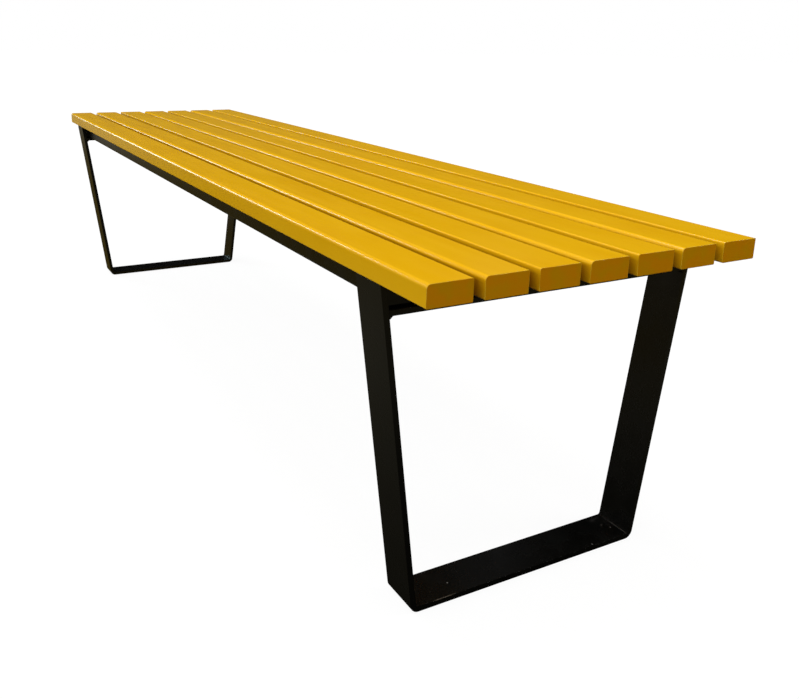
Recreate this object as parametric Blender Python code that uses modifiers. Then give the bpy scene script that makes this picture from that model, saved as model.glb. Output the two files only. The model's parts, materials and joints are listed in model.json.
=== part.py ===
"""Backless bench: painted timber slats on a steel seat frame that is bolted to two flat-bar legs.

Metres, +Z up. The slats run along X, the front of the seat faces -Y, and the origin is on the
floor under the middle of the seat. "left" is -X and "right" is +X.
"""

import math

import bmesh
import bpy
from mathutils import Matrix

# Seat
SEAT_LENGTH = 2.000
SEAT_WIDTH = 0.500
SEAT_HEIGHT = 0.475
SLAT_COUNT = 7
SLAT_GAP = 0.015
SLAT_THICKNESS = 0.027
SLAT_WIDE_ROUNDING = (0.0055, 0.005)  # of the top front edge: across the top face, down the front
SLAT_NARROW_ROUNDING = (0.0022, 0.0022)
SLAT_BACK_ROUNDING = 0.0012
SLAT_BOTTOM_ROUNDING = 0.0016
SLAT_END_BEVEL = 0.0008
WIDE_FRONT_EDGE = (True, True, False, True, False, True, False)

# Legs: one flat bar bent into an open trapezoid, closed near its top by a welded crossbar
BAR_WIDTH = 0.060
BAR_THICKNESS = 0.008
BAR_EDGE_BEVEL = 0.0008
LEG_X = 0.875
LEG_HALF_WIDTH_TOP = 0.2495
LEG_HALF_WIDTH_FLOOR = 0.192
BEND_OUTER_ROUNDING = 0.011  # how far each bend's rounding reaches along the bar's outer face
BEND_INNER_ROUNDING = 0.0035
CROSSBAR_WELD = 0.004

# Seat frame: two rails between two end bearers, with flat ties across the rails
TUBE_HEIGHT = 0.030
TUBE_WALL = 0.003
TUBE_CORNER = 0.004
BEARER_WIDTH = 0.050
BEARER_LENGTH = 0.475
RAIL_WIDTH = 0.030
RAIL_OUTER_Y = 0.231
TIE_WIDTH = 0.040
TIE_THICKNESS = 0.005

# Slat screws, driven from below
SCREW_RADIUS = 0.0025
SCREW_LENGTH = 0.025
SCREW_TIP = 0.005
SCREW_HEAD_RADIUS = 0.0048
SCREW_HEAD_HEIGHT = 0.003
SCREW_SOCKET = (0.0022, 0.0017)  # radius, depth
SCREW_HOLE_RADIUS = 0.003
ACCESS_HOLE_RADIUS = 0.0065  # lets a screw and its driver into a tube

# Leg bolts: M8 flange bolts up through the crossbar into nuts welded inside the bearer
BOLT_RADIUS = 0.004
BOLT_LENGTH = 0.020
BOLT_FLANGE = (0.0085, 0.0016)  # radius, thickness
HEX_RADIUS = 0.0075  # across the corners, for 13 mm across the flats
BOLT_HEAD_HEIGHT = 0.0055
NUT_HEIGHT = 0.0065
BOLT_HOLE_RADIUS = 0.0045

CONTACT_GAP = 0.0003  # left between pieces that touch
MERGE_DISTANCE = 0.00001
ROUND_STEPS = 16

# Worked out from the sizes above
SLAT_WIDTH = (SEAT_WIDTH - (SLAT_COUNT - 1) * SLAT_GAP) / SLAT_COUNT
SLAT_Y = [(i - (SLAT_COUNT - 1) / 2) * (SLAT_WIDTH + SLAT_GAP) for i in range(SLAT_COUNT)]
SLAT_BOTTOM = SEAT_HEIGHT - SLAT_THICKNESS
FRAME_TOP = SLAT_BOTTOM - CONTACT_GAP
TUBE_BOTTOM = FRAME_TOP - TUBE_HEIGHT
TUBE_MIDDLE = FRAME_TOP - TUBE_HEIGHT / 2
CROSSBAR_TOP = TUBE_BOTTOM - CONTACT_GAP
CROSSBAR_BOTTOM = CROSSBAR_TOP - BAR_THICKNESS
LEG_SLOPE = (LEG_HALF_WIDTH_TOP - LEG_HALF_WIDTH_FLOOR) / FRAME_TOP
RAIL_LENGTH = 2 * (LEG_X - BEARER_WIDTH / 2 - CONTACT_GAP)
RAIL_Y = RAIL_OUTER_Y - RAIL_WIDTH / 2
TIE_LENGTH = 2 * (RAIL_OUTER_Y - RAIL_WIDTH - CONTACT_GAP)
TIE_X = LEG_X / 3
BOLT_Y = (SLAT_Y[0] + SLAT_Y[1]) / 2  # under the gap between the first two slats
SIDES = {"left": -1, "right": 1}

ALONG_X = (math.pi / 2, 0, math.pi / 2)  # outline x, y become world Y, Z
ALONG_Y = (math.pi / 2, 0, 0)  # outline x, y become world X, Z

PAINTED_SLAT = ("slat_paint", (0.74, 0.37, 0.012), 0.38, 0.0)
BLACK_STEEL = ("frame_black", (0.012, 0.012, 0.013), 0.45, 0.0)
ZINC_STEEL = ("zinc_fixings", (0.60, 0.60, 0.58), 0.35, 1.0)


def clear_scene():
    for obj in list(bpy.data.objects):
        bpy.data.objects.remove(obj, do_unlink=True)


def new_collection(name):
    collection = bpy.data.collections.new(name)
    bpy.context.scene.collection.children.link(collection)
    return collection


def material(name, colour, roughness, metallic):
    """A material with one Principled shader, made once for each name."""
    if name in bpy.data.materials:
        return bpy.data.materials[name]
    made = bpy.data.materials.new(name)
    made.use_nodes = True
    shader = made.node_tree.nodes["Principled BSDF"]
    shader.inputs["Base Color"].default_value = (*colour, 1.0)
    shader.inputs["Roughness"].default_value = roughness
    shader.inputs["Metallic"].default_value = metallic
    return made


def finish_mesh(mesh, finish):
    """Gives a mesh its material and shades its round stretches smooth."""
    mesh.materials.clear()
    mesh.materials.append(material(*finish))
    mesh.shade_smooth()
    mesh.set_sharp_from_angle(angle=math.radians(35))


def place(name, mesh, location=(0, 0, 0), rotation=(0, 0, 0)):
    obj = bpy.data.objects.new(name, mesh)
    obj.location = location
    obj.rotation_euler = rotation
    parts.objects.link(obj)
    return obj


def evaluated_mesh(obj):
    """The mesh that an object and its modifiers make, with doubled points welded. The object goes."""
    graph = bpy.context.evaluated_depsgraph_get()
    mesh = bpy.data.meshes.new_from_object(obj.evaluated_get(graph))
    mesh.name = obj.name
    bpy.data.objects.remove(obj, do_unlink=True)
    welded = bmesh.new()
    welded.from_mesh(mesh)
    bmesh.ops.remove_doubles(welded, verts=welded.verts, dist=MERGE_DISTANCE)
    welded.to_mesh(mesh)
    welded.free()
    return mesh


def rounded_outline(corners, steps=5):
    """Points around a closed outline whose corners are quarter ellipses.

    A corner is (x, y, cut before, cut after): how far its rounding reaches back along the edge
    that comes to it, and on along the edge that leaves it.
    """
    points = []
    for i, (x, y, before, after) in enumerate(corners):
        if not before:
            points.append((x, y))
            continue
        tangents = []
        for other, cut in ((corners[i - 1], before), (corners[(i + 1) % len(corners)], after)):
            dx, dy = other[0] - x, other[1] - y
            length = math.hypot(dx, dy)
            tangents.append((dx / length * cut, dy / length * cut))
        (bx, by), (ax, ay) = tangents
        for step in range(steps + 1):
            turn = math.pi / 2 * step / steps
            back, on = 1 - math.sin(turn), 1 - math.cos(turn)
            points.append((x + bx * back + ax * on, y + by * back + ay * on))
    return points


def rectangle(width, height, radius):
    """The corners of a rectangle about the origin, all with one rounding."""
    x, y = width / 2, height / 2
    return [(sx * x, sy * y, radius, radius) for sx, sy in ((-1, -1), (1, -1), (1, 1), (-1, 1))]


def extruded(name, outlines, length):
    """A mesh swept along its own Z from flat outlines: the first is outside, any other is a hole."""
    curve = bpy.data.curves.new(name, "CURVE")
    curve.dimensions = "2D"
    curve.fill_mode = "BOTH"
    curve.extrude = length / 2
    for outline in outlines:
        spline = curve.splines.new("POLY")
        spline.points.add(len(outline) - 1)
        for point, (x, y) in zip(spline.points, outline):
            point.co = (x, y, 0, 1)
        spline.use_cyclic_u = True
    return evaluated_mesh(place(name, curve))


def turned(name, profile):
    """A mesh turned about Z from (radius, height) points that run down its outer side."""
    mesh = bpy.data.meshes.new(name)
    edges = [(i, i + 1) for i in range(len(profile) - 1)]
    mesh.from_pydata([(radius, 0, height) for radius, height in profile], edges, [])
    obj = place(name, mesh)
    turn = obj.modifiers.new("Turn", "SCREW")
    turn.axis = "Z"
    turn.steps = ROUND_STEPS
    turn.render_steps = ROUND_STEPS
    turn.use_merge_vertices = True
    turn.merge_threshold = MERGE_DISTANCE
    return evaluated_mesh(obj)


def bevel(obj, width, segments=2):
    """Rounds the square edges of a piece and leaves its shallow ones."""
    modifier = obj.modifiers.new("Edges", "BEVEL")
    modifier.width = width
    modifier.segments = segments
    modifier.limit_method = "ANGLE"
    modifier.angle_limit = math.radians(50)


def cylinder(name, radius, low, high, centres=((0, 0),), sides=ROUND_STEPS):
    """One upright cylinder, or prism, at each (x, y) centre, as one cutter."""
    shape = bmesh.new()
    middle = (low + high) / 2
    for x, y in centres:
        bmesh.ops.create_cone(shape, cap_ends=True, segments=sides, radius1=radius, radius2=radius,
                              depth=high - low, matrix=Matrix.Translation((x, y, middle)))
    mesh = bpy.data.meshes.new(name)
    shape.to_mesh(mesh)
    shape.free()
    obj = bpy.data.objects.new(name, mesh)
    obj.hide_render = True
    obj.display_type = "WIRE"
    cutters.objects.link(obj)
    return obj


def combine(obj, other, operation="DIFFERENCE"):
    modifier = obj.modifiers.new(other.name, "BOOLEAN")
    modifier.operation = operation
    modifier.solver = "EXACT"
    modifier.object = other


def drill(obj, radius, low, high, centres):
    combine(obj, cylinder(f"{obj.name}_drill", radius, low, high, centres))


def leg_half_width(height):
    """Half the distance between the outer faces of a leg's uprights, at a height."""
    return LEG_HALF_WIDTH_FLOOR + LEG_SLOPE * height


def leg_inner_half_width(height):
    return leg_half_width(height) - BAR_THICKNESS * math.hypot(1, LEG_SLOPE)


def slat_screws():
    """(x, slat index, height of the face that its head bears on) for each slat screw.

    The end bearers hold every slat. Between them the ties hold the inner slats, and the rails,
    which lie under the outer slats, hold those.
    """
    screws = []
    for x in (-LEG_X, -TIE_X, TIE_X, LEG_X):
        for i in range(SLAT_COUNT):
            on_tie = abs(x) < LEG_X and 0 < i < SLAT_COUNT - 1
            screws.append((x, i, FRAME_TOP - (TIE_THICKNESS if on_tie else TUBE_WALL)))
    return screws


def slat_mesh(front_across, front_down):
    """A slat on its end, with its long edges rounded and its top front edge rounded to suit."""
    half, low, back = SLAT_WIDTH / 2, SLAT_BOTTOM_ROUNDING, SLAT_BACK_ROUNDING
    outline = rounded_outline([
        (-half, 0, low, low),
        (half, 0, low, low),
        (half, SLAT_THICKNESS, back, back),
        (-half, SLAT_THICKNESS, front_across, front_down),
    ], steps=7)
    mesh = extruded("slat", [outline], SEAT_LENGTH)
    finish_mesh(mesh, PAINTED_SLAT)
    return mesh


def make_slats():
    """Slats with a wide or a narrow front edge, and a pilot hole for each screw."""
    wide = slat_mesh(*SLAT_WIDE_ROUNDING)
    narrow = slat_mesh(*SLAT_NARROW_ROUNDING)
    for i, y in enumerate(SLAT_Y):
        mesh = wide if WIDE_FRONT_EDGE[i] else narrow
        slat = place(f"slat_{i + 1}", mesh, (0, y, SLAT_BOTTOM), ALONG_X)
        bevel(slat, SLAT_END_BEVEL)
        for x, index, bearing in slat_screws():
            if index == i:
                drill(slat, SCREW_RADIUS + CONTACT_GAP, bearing, bearing + SCREW_LENGTH, [(x, y)])


def leg_bar_outline():
    """The bent bar's side: up one side of the trapezoid's outer face and back along its inner one."""
    top, floor = LEG_HALF_WIDTH_TOP, LEG_HALF_WIDTH_FLOOR
    inner_top, inner_floor = leg_inner_half_width(FRAME_TOP), leg_inner_half_width(BAR_THICKNESS)
    outer, inner = BEND_OUTER_ROUNDING, BEND_INNER_ROUNDING
    return rounded_outline([
        (-top, FRAME_TOP, 0, 0),
        (-floor, 0, outer, outer),
        (floor, 0, outer, outer),
        (top, FRAME_TOP, 0, 0),
        (inner_top, FRAME_TOP, 0, 0),
        (inner_floor, BAR_THICKNESS, inner, inner),
        (-inner_floor, BAR_THICKNESS, inner, inner),
        (-inner_top, FRAME_TOP, 0, 0),
    ], steps=8)


def crossbar_outline():
    """The crossbar's side, with the fillet weld between its underside and each upright."""
    weld_bottom = CROSSBAR_BOTTOM - CROSSBAR_WELD
    top_end = leg_inner_half_width(CROSSBAR_TOP) - CONTACT_GAP
    weld_end = leg_inner_half_width(weld_bottom) - CONTACT_GAP
    half = [(weld_end - CROSSBAR_WELD, CROSSBAR_BOTTOM), (weld_end, weld_bottom), (top_end, CROSSBAR_TOP)]
    return half + [(-y, z) for y, z in reversed(half)]


def make_legs():
    bar = extruded("leg_bar", [leg_bar_outline()], BAR_WIDTH)
    crossbar = extruded("leg_crossbar", [crossbar_outline()], BAR_WIDTH)
    for mesh in (bar, crossbar):
        finish_mesh(mesh, BLACK_STEEL)
    for side, sign in SIDES.items():
        x = sign * LEG_X
        bevel(place(f"leg_bar_{side}", bar, (x, 0, 0), ALONG_X), BAR_EDGE_BEVEL)
        cross = place(f"leg_crossbar_{side}", crossbar, (x, 0, 0), ALONG_X)
        bevel(cross, BAR_EDGE_BEVEL)
        drill(cross, BOLT_HOLE_RADIUS, CROSSBAR_BOTTOM - CROSSBAR_WELD, TUBE_MIDDLE,
              [(x, BOLT_Y), (x, -BOLT_Y)])


def tube(name, width, length):
    """A rectangular tube, open at both ends."""
    inner_corner = TUBE_CORNER - TUBE_WALL
    walls = [rectangle(width, TUBE_HEIGHT, TUBE_CORNER),
             rectangle(width - 2 * TUBE_WALL, TUBE_HEIGHT - 2 * TUBE_WALL, inner_corner)]
    mesh = extruded(name, [rounded_outline(wall, steps=3) for wall in walls], length)
    finish_mesh(mesh, BLACK_STEEL)
    return mesh


def drill_tube(obj, screws):
    """A screw hole in the tube's top wall and an access hole in its bottom wall for each screw."""
    drill(obj, SCREW_HOLE_RADIUS, TUBE_MIDDLE, FRAME_TOP + TUBE_WALL, screws)
    drill(obj, ACCESS_HOLE_RADIUS, TUBE_BOTTOM - TUBE_WALL, TUBE_MIDDLE, screws)


def make_seat_frame():
    bearer = tube("end_bearer", BEARER_WIDTH, BEARER_LENGTH)
    rail = tube("side_rail", RAIL_WIDTH, RAIL_LENGTH)
    for side, sign in SIDES.items():
        x = sign * LEG_X
        piece = place(f"end_bearer_{side}", bearer, (x, 0, TUBE_MIDDLE), ALONG_Y)
        drill_tube(piece, [(x, y) for y in SLAT_Y])
        drill(piece, BOLT_HOLE_RADIUS, CROSSBAR_BOTTOM, TUBE_MIDDLE, [(x, BOLT_Y), (x, -BOLT_Y)])
    for side, y in (("front", -RAIL_Y), ("back", RAIL_Y)):
        slat_y = math.copysign(SLAT_Y[-1], y)
        piece = place(f"side_rail_{side}", rail, (0, y, TUBE_MIDDLE), ALONG_X)
        drill_tube(piece, [(-TIE_X, slat_y), (TIE_X, slat_y)])


def make_ties():
    """Flat bars between the rails that carry the inner slats away from the legs."""
    mesh = extruded("seat_tie", [rounded_outline(rectangle(TIE_WIDTH, TIE_LENGTH, 0))], TIE_THICKNESS)
    finish_mesh(mesh, BLACK_STEEL)
    low, high = FRAME_TOP - TIE_THICKNESS, FRAME_TOP
    for side, sign in SIDES.items():
        x = sign * TIE_X
        tie = place(f"seat_tie_{side}", mesh, (x, 0, (low + high) / 2))
        drill(tie, SCREW_HOLE_RADIUS, low - TUBE_WALL, high + TUBE_WALL, [(x, y) for y in SLAT_Y[1:-1]])


def make_slat_screws():
    """Pan-head wood screws that stand on their heads: origin at the head's bearing face."""
    radius, depth = SCREW_SOCKET
    blank = place("slat_screw", turned("slat_screw", [
        (0, SCREW_LENGTH),
        (SCREW_RADIUS, SCREW_LENGTH - SCREW_TIP),
        (SCREW_RADIUS, 0),
        (SCREW_HEAD_RADIUS, 0),
        (SCREW_HEAD_RADIUS, -SCREW_HEAD_HEIGHT * 0.5),
        (SCREW_HEAD_RADIUS * 0.75, -SCREW_HEAD_HEIGHT),
        (0, -SCREW_HEAD_HEIGHT),
    ]))
    combine(blank, cylinder("screw_socket", radius, -2 * SCREW_HEAD_HEIGHT,
                            depth - SCREW_HEAD_HEIGHT, sides=6))
    mesh = evaluated_mesh(blank)
    finish_mesh(mesh, ZINC_STEEL)
    for number, (x, i, bearing) in enumerate(slat_screws(), start=1):
        place(f"slat_screw_{number:02d}", mesh, (x, SLAT_Y[i], bearing - CONTACT_GAP))


def make_leg_bolts():
    """Flange bolts below the crossbars and the hex nuts inside the bearers that they screw into."""
    flange_radius, flange = BOLT_FLANGE
    blank = place("leg_bolt", turned("leg_bolt", [
        (0, BOLT_LENGTH),
        (BOLT_RADIUS * 0.8, BOLT_LENGTH),
        (BOLT_RADIUS, BOLT_LENGTH - BOLT_RADIUS * 0.25),
        (BOLT_RADIUS, 0),
        (flange_radius, 0),
        (flange_radius, -flange / 2),
        (HEX_RADIUS, -flange),
        (0, -flange),
    ]))
    combine(blank, cylinder("bolt_hex", HEX_RADIUS * 0.98, -flange - BOLT_HEAD_HEIGHT,
                            -flange / 2, sides=6), "UNION")
    bolt = evaluated_mesh(blank)

    nut_blank = place("leg_nut", evaluated_mesh(cylinder("nut_hex", HEX_RADIUS, 0, NUT_HEIGHT, sides=6)))
    combine(nut_blank, cylinder("nut_bore", BOLT_RADIUS + CONTACT_GAP, -NUT_HEIGHT, 2 * NUT_HEIGHT))
    nut = evaluated_mesh(nut_blank)

    for mesh in (bolt, nut):
        finish_mesh(mesh, ZINC_STEEL)
    for side, sign in SIDES.items():
        for row, y in (("front", BOLT_Y), ("back", -BOLT_Y)):
            x = sign * LEG_X
            place(f"leg_bolt_{side}_{row}", bolt, (x, y, CROSSBAR_BOTTOM - CONTACT_GAP))
            place(f"leg_nut_{side}_{row}", nut, (x, y, TUBE_BOTTOM + TUBE_WALL + CONTACT_GAP))


clear_scene()
parts = new_collection("backless_bench")
cutters = new_collection("cutters")
make_slats()
make_legs()
make_seat_frame()
make_ties()
make_slat_screws()
make_leg_bolts()
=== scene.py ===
"""The looks of the backless bench: painted timber slats, powder-coated steel, and a pale studio.

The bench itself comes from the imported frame, and everything else is placed in its axes. Metres,
+Z up, -Y is the front of the seat, and the camera stands beyond the +X end.
"""

import json
import math

import bpy
from mathutils import Matrix, Vector

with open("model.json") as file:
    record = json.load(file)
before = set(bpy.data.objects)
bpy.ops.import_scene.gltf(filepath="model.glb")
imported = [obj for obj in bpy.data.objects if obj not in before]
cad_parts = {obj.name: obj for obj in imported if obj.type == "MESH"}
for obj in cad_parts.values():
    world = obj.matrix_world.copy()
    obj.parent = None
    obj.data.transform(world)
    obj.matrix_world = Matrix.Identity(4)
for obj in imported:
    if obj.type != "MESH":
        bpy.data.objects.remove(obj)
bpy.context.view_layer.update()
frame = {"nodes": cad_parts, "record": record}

# Camera: where it stands, where it looks (radians), and its lens
CAMERA_PLACE = Vector((1.68410, -0.69491, 0.71507))
CAMERA_YAW = 2.63888
CAMERA_PITCH = -0.26730
CAMERA_ROLL = 0.01994
CAMERA_LENS = 37.883
CAMERA_SENSOR = 36.0
CAMERA_SHIFT = (0.0401, -0.1034)
CAMERA_CLIP = 0.02

# Places on the bench
SEAT_END_X = 1.000
SEAT_TOP_Z = 0.475
OUTER_SIDE_Y = 0.248   # sides farther out than this face out of the seat
# the painted shade between the slats starts at the first height and is full at the second
GAP_SHADE_START_Z = 0.4715
GAP_SHADE_FULL_Z = 0.4665
LEG_X = 0.875
BAR_HALF_WIDTH = 0.030
BAR_TOP_Z = 0.008      # the top of a leg's floor bar


# ---------------------------------------------------------------- node helpers

def new_material(name):
    material = bpy.data.materials.new(name)
    material.use_nodes = True
    material.node_tree.nodes.clear()
    return material, material.node_tree


def add(tree, kind, inputs=None, **settings):
    """One shader node. An input is a value, or a socket to link from."""
    node = tree.nodes.new("ShaderNode" + kind)
    for name, value in settings.items():
        setattr(node, name, value)
    for name, value in (inputs or {}).items():
        if isinstance(value, bpy.types.NodeSocket):
            tree.links.new(value, node.inputs[name])
        else:
            node.inputs[name].default_value = value
    return node


def place_coordinates(tree, scale, offset=(0, 0, 0)):
    """Coordinates fixed to the bench in metres, stretched by a scale for each axis."""
    coordinates = add(tree, "TexCoord")
    mapping = add(tree, "Mapping", {"Scale": scale, "Location": offset,
                                    "Vector": coordinates.outputs["Object"]})
    return mapping.outputs["Vector"]


def noise(tree, scale, detail=3.0, roughness=0.5, distortion=0.0, offset=(0, 0, 0)):
    """Noise from 0 to 1, whose scale is in cycles per metre along each axis."""
    made = add(tree, "TexNoise", {"Vector": place_coordinates(tree, scale, offset), "Scale": 1.0,
                                  "Detail": detail, "Roughness": roughness, "Distortion": distortion})
    return made.outputs["Fac"]


def remap(tree, value, low, high, to_low=0.0, to_high=1.0):
    """A value's range from low to high turned into another range, and held inside it."""
    made = add(tree, "MapRange", {"Value": value, "From Min": low, "From Max": high,
                                  "To Min": to_low, "To Max": to_high}, clamp=True)
    return made.outputs["Result"]


def maths(tree, operation, first, second=0.0):
    made = add(tree, "Math", operation=operation)
    for socket, value in zip(made.inputs, (first, second)):
        if isinstance(value, bpy.types.NodeSocket):
            tree.links.new(value, socket)
        else:
            socket.default_value = value
    return made.outputs["Value"]


def mix(tree, factor, first, second):
    """A colour between two, each a socket or (red, green, blue)."""
    made = add(tree, "Mix", {"Factor": factor}, data_type="RGBA")
    for name, value in (("A", first), ("B", second)):
        socket = [s for s in made.inputs if s.name == name and s.type == "RGBA"][0]
        if isinstance(value, bpy.types.NodeSocket):
            tree.links.new(value, socket)
        else:
            socket.default_value = (*value, 1.0)
    return [s for s in made.outputs if s.type == "RGBA"][0]


def bump(tree, height, distance, normal=None):
    """A normal tilted by a height from 0 to 1, which stands for this many metres."""
    inputs = {"Height": height, "Distance": distance, "Strength": 1.0}
    if normal is not None:
        inputs["Normal"] = normal
    return add(tree, "Bump", inputs).outputs["Normal"]


def product(tree, first, *others):
    """All the factors multiplied, of which the first is a socket."""
    for other in others:
        first = maths(tree, "MULTIPLY", first, other)
    return first


def absolute(tree, value):
    return maths(tree, "ABSOLUTE", value)


def facing(tree, axis):
    """How far the surface faces along X, Y or Z, from -1 to 1."""
    normal = add(tree, "NewGeometry").outputs["Normal"]
    return add(tree, "SeparateXYZ", {"Vector": normal}).outputs[axis]


def bench_place(tree):
    """Where the shaded point is on the bench, as three outputs named X, Y and Z."""
    return add(tree, "SeparateXYZ", {"Vector": add(tree, "TexCoord").outputs["Object"]}).outputs


def distance(tree, position, place):
    """How far a position is from a fixed place."""
    return add(tree, "VectorMath", {0: position, 1: place}, operation="DISTANCE").outputs["Value"]


def mark(tree, place, radius):
    """A soft-edged spot at a place on the bench."""
    away = distance(tree, add(tree, "TexCoord").outputs["Object"], place)
    return remap(tree, away, radius, radius * 0.5)


def blend(tree, factor, first, second):
    """A shader between those of two nodes."""
    made = add(tree, "MixShader", {"Fac": factor})
    tree.links.new(first.outputs[0], made.inputs[1])
    tree.links.new(second.outputs[0], made.inputs[2])
    return made


def principled(tree, **inputs):
    """The principled shader and the output. Its inputs are named as in base_color."""
    names = {name.replace("_", " ").title().replace("Ior", "IOR"): value
             for name, value in inputs.items()}
    shader = add(tree, "BsdfPrincipled", names)
    add(tree, "OutputMaterial", {"Surface": shader.outputs["BSDF"]})


# ---------------------------------------------------------------- materials

PAINT = (0.800, 0.428, 0.0030)
PAINT_DEEP = (0.745, 0.370, 0.0020)
PAINT_LIGHT = (0.820, 0.450, 0.0045)
# the end colours: end-grain paint whose deeper, more orange tone is partly painted shade
PAINT_END = (0.790, 0.305, 0.0004)
PAINT_END_OLIVE = (0.730, 0.330, 0.0004)
PAINT_GAP_SHADE = (0.350, 0.145, 0.0008)  # painted shade on the sides down between the slats
PAINT_ARRIS_HIGHLIGHT = (0.98, 0.76, 0.08)    # painted highlight on the sharp edges of the ends
PAINT_IOR = 1.46
SPECULAR_FACE, SPECULAR_END = 0.5, 0.2
ARRIS_RADIUS = 0.0012
ARRIS_LENGTH = 0.002                # how far from the end the painted highlight reaches
GAP_SHADE_FADE_LENGTH = 0.016          # how far from the end the painted shade in the gaps thins out
GRAIN_HEIGHT = 0.000004
PEEL_HEIGHT = 0.000002


def eased_normal(tree, radius):
    """The normal as if every sharp edge had this radius, and a mask of where that bends it."""
    eased = add(tree, "Bevel", {"Radius": radius}, samples=8).outputs["Normal"]
    flat = add(tree, "NewGeometry").outputs["Normal"]
    agree = add(tree, "VectorMath", {0: eased, 1: flat}, operation="DOT_PRODUCT").outputs["Value"]
    return eased, remap(tree, agree, 0.98, 0.80)


def face_colour(tree):
    """Paint along a slat: a slow drift, deeper patches and faint streaks."""
    drift = noise(tree, (1.6, 22.0, 22.0), detail=2.0)
    patches = noise(tree, (7.0, 16.0, 16.0), offset=(3.1, 1.7, 0.4))
    streaks = noise(tree, (5.0, 380.0, 380.0), roughness=0.55, distortion=0.4)
    colour = mix(tree, remap(tree, drift, 0.35, 0.65), PAINT, PAINT_LIGHT)
    colour = mix(tree, remap(tree, patches, 0.45, 0.75, 0.0, 0.45), colour, PAINT_DEEP)
    return mix(tree, remap(tree, streaks, 0.55, 0.80, 0.0, 0.03), colour, PAINT_DEEP)


def end_colour(tree):
    """Paint on the end grain in olive and orange blotches, deeper and more orange than on the faces;
    that tone is partly the end grain's own and partly painted shade.
    """
    blotches = noise(tree, (30.0, 38.0, 48.0), detail=2.0, offset=(0.2, 5.3, 2.2))
    return mix(tree, remap(tree, blotches, 0.42, 0.62), PAINT_END, PAINT_END_OLIVE)


def painted_gap_shade(tree):
    """A mask of painted shade on the sides down between the slats, lighter towards their ends."""
    place = bench_place(tree)
    upright = maths(tree, "LESS_THAN", absolute(tree, facing(tree, "Z")), 0.8)
    inner = maths(tree, "LESS_THAN", absolute(tree, place["Y"]), OUTER_SIDE_Y)
    depth = remap(tree, place["Z"], GAP_SHADE_START_Z, GAP_SHADE_FULL_Z)
    from_end = remap(tree, absolute(tree, place["X"]), SEAT_END_X - GAP_SHADE_FADE_LENGTH, SEAT_END_X,
                     1.0, 0.25)
    along = remap(tree, absolute(tree, facing(tree, "X")), 0.3, 0.5, 1.0, 0.0)
    return product(tree, upright, inner, depth, from_end, along)


def painted_end_highlight(tree, arris):
    """A mask of a painted highlight, in patches, along the sharp edges at the slats' ends."""
    patchy = noise(tree, (3.0, 26.0, 26.0), offset=(0.7, 2.6, 1.9))
    highlight_patches = remap(tree, patchy, 0.42, 0.56, 0.2, 0.9)
    at_end = maths(tree, "GREATER_THAN", absolute(tree, bench_place(tree)["X"]),
                   SEAT_END_X - ARRIS_LENGTH)
    return product(tree, arris, at_end, highlight_patches)


def paint_normal(tree, end_grain, eased):
    """Grain along the faces, rings across the ends, and a fine orange peel over both."""
    grain = noise(tree, (2.0, 150.0, 150.0), distortion=0.5)
    rings = noise(tree, (3.0, 60.0, 340.0), distortion=0.6)
    relief = add(tree, "Mix", {"Factor": end_grain, "A": grain, "B": rings}, data_type="FLOAT")
    peel = noise(tree, (420.0, 420.0, 420.0), detail=2.0)
    normal = bump(tree, relief.outputs["Result"], GRAIN_HEIGHT, eased)
    return bump(tree, peel, PEEL_HEIGHT, normal)


def slat_paint():
    """Satin enamel over planed timber."""
    material, tree = new_material("amber_yellow_paint")
    end_grain = remap(tree, absolute(tree, facing(tree, "X")), 0.75, 0.97)
    eased, arris = eased_normal(tree, ARRIS_RADIUS)
    # end faces take the end colours, which are partly painted shade
    colour = mix(tree, end_grain, face_colour(tree), end_colour(tree))
    # painted shade down in the gaps between the slats
    colour = mix(tree, painted_gap_shade(tree), colour, PAINT_GAP_SHADE)
    # a painted highlight along the sharp edges at the slats' ends
    colour = mix(tree, painted_end_highlight(tree, arris), colour, PAINT_ARRIS_HIGHLIGHT)
    gloss = noise(tree, (9.0, 60.0, 60.0), offset=(1.1, 0.3, 2.9))
    principled(tree, base_color=colour, ior=PAINT_IOR,
               roughness=remap(tree, gloss, 0.3, 0.7, 0.16, 0.23),
               normal=paint_normal(tree, end_grain, eased),
               specular_ior_level=remap(tree, end_grain, 0.0, 1.0, SPECULAR_FACE, SPECULAR_END))
    return material


STEEL = (0.0011, 0.0011, 0.0008)
STEEL_WORN = (0.0022, 0.0021, 0.0014)
# light spots on the bars' upper edges, partly worn coat and partly painted glints
STEEL_RUB_AND_GLINT = (0.10, 0.09, 0.08)
# a light mark on the floor bar's edge, partly a scratched spot and partly a painted glint
STEEL_SCRATCH_AND_GLINT = (0.20, 0.16, 0.12)
DUST = (0.42, 0.39, 0.37)
STEEL_IOR = 1.55
TEXTURE_HEIGHT = 0.000006
RIPPLE_HEIGHT = 0.00003
DOTS_PER_METRE = 62.0
DOT_SHARE = 0.05

# Marks on the near leg's floor bar: a dusty smudge, a scratched spot on its edge that is also a
# painted glint, and specks of dust
SMUDGE_PLACE, SMUDGE_RADIUS = (0.860, 0.170, BAR_TOP_Z), 0.020
SCRATCH_GLINT_PLACE, SCRATCH_GLINT_RADIUS = (0.905, -0.142, BAR_TOP_Z), 0.018
SCRATCH_GLINT_DEPTH = 0.0006  # how far it reaches down the bar's side
SPECK_PLACES = ((0.881, -0.121), (0.902, 0.118), (0.870, 0.166), (0.881, 0.174))
SPECK_RADIUS = 0.0012


def dust_dots(tree):
    """A mask of small round spots, in a few of the cells of a random pattern."""
    cells = add(tree, "TexVoronoi", {"Vector": place_coordinates(tree, (1.0, 1.0, 1.0)),
                                     "Scale": DOTS_PER_METRE, "Randomness": 1.0})
    dots = remap(tree, cells.outputs["Distance"], 0.04, 0.09, 1.0, 0.0)
    chance = add(tree, "SeparateColor", {"Color": cells.outputs["Color"]}).outputs["Red"]
    return product(tree, dots, maths(tree, "GREATER_THAN", chance, 1.0 - DOT_SHARE))


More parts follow.
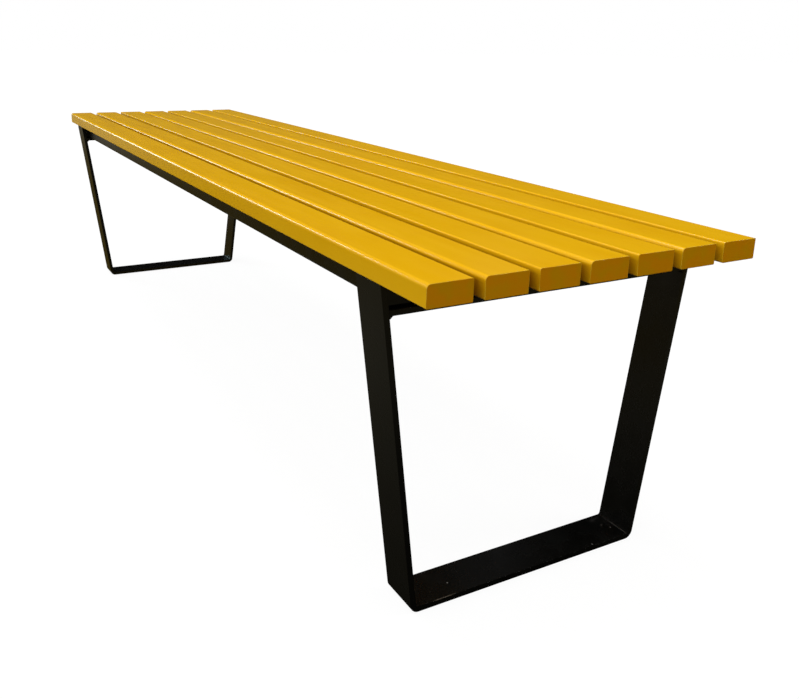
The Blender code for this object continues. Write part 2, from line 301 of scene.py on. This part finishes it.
def bar_edges(tree):
    """A mask of about the last millimetre at both edges of a leg's bar."""
    across = maths(tree, "SUBTRACT", absolute(tree, bench_place(tree)["X"]), LEG_X)
    from_edge = maths(tree, "SUBTRACT", BAR_HALF_WIDTH, absolute(tree, across))
    return remap(tree, from_edge, 0.0006, 0.0014, 1.0, 0.0)


def add_bar_marks(tree, colour, edge):
    """The smudge, the scratched spot with its painted glint, and the specks on the near leg's floor
    bar.
    """
    smears = noise(tree, (160.0, 90.0, 90.0), detail=4.0)
    smudge = product(tree, mark(tree, SMUDGE_PLACE, SMUDGE_RADIUS),
                     remap(tree, smears, 0.50, 0.66, 0.0, 0.05))
    colour = mix(tree, smudge, colour, DUST)
    # a light mark on the bar's top edge: partly a scratched spot, partly a painted glint
    near_top = maths(tree, "GREATER_THAN", bench_place(tree)["Z"], BAR_TOP_Z - SCRATCH_GLINT_DEPTH)
    scratch_glint = product(tree, edge, near_top, mark(tree, SCRATCH_GLINT_PLACE, SCRATCH_GLINT_RADIUS), 0.5)
    colour = mix(tree, scratch_glint, colour, STEEL_SCRATCH_AND_GLINT)
    for x, y in SPECK_PLACES:
        speck = mark(tree, (x, y, BAR_TOP_Z), SPECK_RADIUS)
        colour = mix(tree, product(tree, speck, 0.6), colour, DUST)
    return colour


def steel_coat():
    """Fine satin black powder coat, with a little dust where it faces up, and light spots on the
    bars' upper edges that are partly worn coat and partly painted glints.
    """
    material, tree = new_material("satin_black_powder_coat")
    clouds = noise(tree, (9.0, 9.0, 9.0), detail=4.0)
    colour = mix(tree, remap(tree, clouds, 0.35, 0.70), STEEL, STEEL_WORN)

    upward = remap(tree, facing(tree, "Z"), 0.6, 0.9)
    dusty = noise(tree, (22.0, 22.0, 22.0), detail=6.0, roughness=0.65)
    film = remap(tree, dusty, 0.56, 0.80, 0.0, 0.0005)
    colour = mix(tree, product(tree, film, upward), colour, DUST)
    colour = mix(tree, product(tree, dust_dots(tree), upward, 0.5), colour, DUST)

    edge = bar_edges(tree)
    # light spots along the bars' upper edges: partly worn coat, partly painted glints
    rub_and_glint_noise = noise(tree, (5.0, 55.0, 55.0), detail=5.0, roughness=0.7)
    rub_and_glint = product(tree, edge, remap(tree, rub_and_glint_noise, 0.60, 0.68), upward)
    colour = mix(tree, rub_and_glint, colour, STEEL_RUB_AND_GLINT)
    colour = add_bar_marks(tree, colour, edge)

    normal = bump(tree, noise(tree, (900.0, 900.0, 900.0), detail=2.0), TEXTURE_HEIGHT)
    normal = bump(tree, noise(tree, (60.0, 60.0, 60.0), detail=2.0), RIPPLE_HEIGHT, normal)
    gloss = noise(tree, (30.0, 30.0, 30.0), offset=(4.2, 0.9, 1.3))
    principled(tree, base_color=colour, roughness=remap(tree, gloss, 0.3, 0.7, 0.22, 0.32),
               normal=normal, ior=STEEL_IOR, specular_ior_level=0.5)
    return material


ZINC = (0.62, 0.62, 0.60)
ZINC_DULL = (0.48, 0.49, 0.47)
TURNING_HEIGHT = 0.00002


def zinc_plate():
    """Bright zinc with turned marks and a slightly cloudy passivation."""
    material, tree = new_material("zinc_plate")
    clouds = noise(tree, (180.0, 180.0, 180.0), detail=4.0)
    colour = mix(tree, remap(tree, clouds, 0.35, 0.70), ZINC, ZINC_DULL)
    marks = noise(tree, (700.0, 700.0, 4000.0), detail=2.0)
    principled(tree, base_color=colour, roughness=remap(tree, clouds, 0.3, 0.7, 0.26, 0.44),
               normal=bump(tree, marks, TURNING_HEIGHT), metallic=1.0)
    return material


FINISHES = {"slat_paint": slat_paint(), "frame_black": steel_coat(), "zinc_fixings": zinc_plate()}
WELD_DISTANCE = 0.00002
FACE_WEIGHT = 80
SAME_WEIGHT = 0.02  # faces whose weights differ by less than this count as equal


def dress_nodes():
    """Gives each CAD node its finish, and shades its roundings smooth beside its flats."""
    slots = {part["node"]: part["material_slot"] for part in frame["record"]["subparts"]}
    for name, obj in frame["nodes"].items():
        obj.data.materials.clear()
        obj.data.materials.append(FINISHES[slots[name]])
        obj.data.polygons.foreach_set("use_smooth", [True] * len(obj.data.polygons))
        weld = obj.modifiers.new("Weld", "WELD")
        weld.merge_threshold = WELD_DISTANCE
        normals = obj.modifiers.new("Flat faces stay flat", "WEIGHTED_NORMAL")
        normals.mode = "FACE_AREA"
        normals.weight = FACE_WEIGHT
        normals.thresh = SAME_WEIGHT


dress_nodes()


# ---------------------------------------------------------------- stage, light and camera

FLOOR_SIZE = 60.0
FLOOR_DROP = 0.0004  # keeps the floor just below the legs' undersides
WHITE = (1.0, 1.0, 1.0)
FLOOR_SEEN_STRENGTH = 1.04
FLOOR_SHADOW_SHARE = 0.12
FLOOR_ALBEDO = 0.93
FLOOR_BOUNCE = (0.055, 0.052, 0.043)
GLOW_CENTRE = (0.9, 0.0, 0.0)
GLOW_WARM = (1.0, 0.90, 0.60)
GLOW_AMBER = (1.0, 0.70, 0.10)
GLOW_PALE = (1.0, 0.90, 0.70)


def emission(tree, colour, strength):
    return add(tree, "Emission", {"Color": colour, "Strength": strength})


def floor_glow(tree, position):
    """What glossy rays meet on the floor: nearly black by the near leg, glowing farther away."""
    away = distance(tree, position, GLOW_CENTRE)
    near = remap(tree, away, 0.1, 0.9, 0.010, 0.095)
    far = remap(tree, away, 3.2, 5.3, 0.0, 0.110)
    tint = mix(tree, remap(tree, away, 1.0, 1.8), GLOW_WARM, GLOW_AMBER)
    tint = mix(tree, remap(tree, away, 3.4, 5.3), tint, GLOW_PALE)
    return emission(tree, tint, maths(tree, "ADD", near, far))


def make_floor():
    """A floor that the camera sees white with a faint shadow, and that bounces and mirrors little."""
    bpy.ops.mesh.primitive_plane_add(size=FLOOR_SIZE, location=(0, 0, -FLOOR_DROP))
    floor = bpy.context.object
    floor.name = "studio_floor"
    material, tree = new_material("pale_floor")
    rays = add(tree, "LightPath").outputs
    position = add(tree, "NewGeometry").outputs["Position"]
    from_middle = distance(tree, position, (0.0, 0.0, 0.0))
    shaded = add(tree, "BsdfDiffuse", {"Color": (FLOOR_ALBEDO, FLOOR_ALBEDO, FLOOR_ALBEDO, 1.0)})
    seen = blend(tree, remap(tree, from_middle, 1.2, 2.6, FLOOR_SHADOW_SHARE, 0.0),
                 emission(tree, (*WHITE, 1.0), FLOOR_SEEN_STRENGTH), shaded)
    bounced = add(tree, "BsdfDiffuse", {"Color": (*FLOOR_BOUNCE, 1.0)})
    unseen = blend(tree, rays["Is Glossy Ray"], bounced, floor_glow(tree, position))
    shader = blend(tree, rays["Is Camera Ray"], unseen, seen)
    add(tree, "OutputMaterial", {"Surface": shader.outputs["Shader"]})
    floor.data.materials.append(material)


DOME_COLOUR = (1.0, 0.985, 0.96)
DOME_LEVEL = 0.50
DOME_LEAST = 0.03
DOME_SLOPE = (-0.27, -0.88, 0.42)  # the dome is brighter above, in front and beyond the far end
LOW_GLOW_COLOUR = (1.0, 0.95, 0.85)
LOW_GLOW_STRENGTH = 0.09


def make_world():
    """White to the camera, a soft dome that lights the bench, and for mirrors a glow low down."""
    world = bpy.data.worlds.new("studio")
    bpy.context.scene.world = world
    world.use_nodes = True
    tree = world.node_tree
    tree.nodes.clear()
    rays = add(tree, "LightPath").outputs
    direction = add(tree, "TexCoord").outputs["Generated"]
    slope = add(tree, "VectorMath", {0: direction, 1: DOME_SLOPE}, operation="DOT_PRODUCT")
    level = maths(tree, "ADD", slope.outputs["Value"], DOME_LEVEL)
    level = maths(tree, "MAXIMUM", level, DOME_LEAST)
    rise = add(tree, "SeparateXYZ", {"Vector": direction}).outputs["Z"]
    low = remap(tree, rise, 0.07, 0.13, LOW_GLOW_STRENGTH, 0.0)
    dome = add(tree, "Background", {"Color": (*DOME_COLOUR, 1.0), "Strength": level})
    low_glow = add(tree, "Background", {"Color": (*LOW_GLOW_COLOUR, 1.0), "Strength": low})
    white = add(tree, "Background", {"Color": (*WHITE, 1.0), "Strength": 1.0})
    unseen = blend(tree, rays["Is Glossy Ray"], dome, low_glow)
    shader = blend(tree, rays["Is Camera Ray"], unseen, white)
    add(tree, "OutputWorld", {"Surface": shader.outputs["Shader"]})


EDGE_WHITE = (0.70, 0.97, 1.0)  # bluish, to offset the yellow that the paint's own colour adds
SEAT_AIM = (0.2, 0.0, SEAT_TOP_Z)


def softbox(name, centre, towards, along, length, width, radiance, colour=WHITE):
    """A rectangular light that faces a point, with its long side along a direction."""
    light = bpy.data.lights.new(name, "AREA")
    light.color = colour
    light.shape = "RECTANGLE"
    light.size, light.size_y = width, length
    light.energy = radiance * math.pi * length * width
    back = (Vector(centre) - Vector(towards)).normalized()
    long_side = Vector(along)
    long_side = (long_side - long_side.dot(back) * back).normalized()
    turn = Matrix((long_side.cross(back), long_side, back)).transposed()
    obj = bpy.data.objects.new(name, light)
    obj.matrix_world = Matrix.Translation(centre) @ turn.to_4x4()
    obj.visible_camera = False
    bpy.context.scene.collection.objects.link(obj)


def make_lights():
    """One box overhead, two that draw the slats' edges, a dim panel and one box behind the bench."""
    softbox("overhead_softbox", (-0.4, -0.2, 3.2), towards=(-0.4, -0.2, 0.0), along=(1.0, 0.0, 0.0),
            length=1.8, width=1.2, radiance=5.4)
    softbox("edge_light_high", (-2.80, -1.46, 1.80), towards=SEAT_AIM, along=(0.15, -0.35, 1.0),
            length=1.1, width=0.4, radiance=8.0, colour=EDGE_WHITE)
    softbox("edge_light_low", (-2.95, -1.08, 0.93), towards=SEAT_AIM, along=(0.15, -0.45, 0.7),
            length=0.9, width=0.4, radiance=6.0, colour=EDGE_WHITE)
    softbox("dim_panel", (-1.07, 1.47, 1.70), towards=(LEG_X, 0.0, 0.0), along=(0.0, 0.0, 1.0),
            length=0.9, width=0.3, radiance=0.10)
    softbox("back_softbox", (1.66, 1.9, 2.4), towards=(1.0, 0.0, SEAT_TOP_Z), along=(0.0, 1.0, 0.0),
            length=1.8, width=0.45, radiance=9.0)


def make_camera():
    """The camera, from its place, its heading and its lens."""
    forward = Vector((math.cos(CAMERA_YAW) * math.cos(CAMERA_PITCH),
                      math.sin(CAMERA_YAW) * math.cos(CAMERA_PITCH),
                      math.sin(CAMERA_PITCH)))
    level = forward.cross(Vector((0, 0, 1))).normalized()
    upright = level.cross(forward)
    right = math.cos(CAMERA_ROLL) * level + math.sin(CAMERA_ROLL) * upright
    up = right.cross(forward)
    lens = bpy.data.cameras.new("camera")
    lens.sensor_fit = "HORIZONTAL"
    lens.sensor_width = CAMERA_SENSOR
    lens.lens = CAMERA_LENS
    lens.shift_x, lens.shift_y = CAMERA_SHIFT
    lens.clip_start = CAMERA_CLIP
    camera = bpy.data.objects.new("camera", lens)
    turn = Matrix((right, up, -forward)).transposed()
    camera.matrix_world = Matrix.Translation(CAMERA_PLACE) @ turn.to_4x4()
    bpy.context.scene.collection.objects.link(camera)
    bpy.context.scene.camera = camera


make_floor()
make_world()
make_lights()
make_camera()
bpy.context.scene.view_settings.view_transform = "Standard"
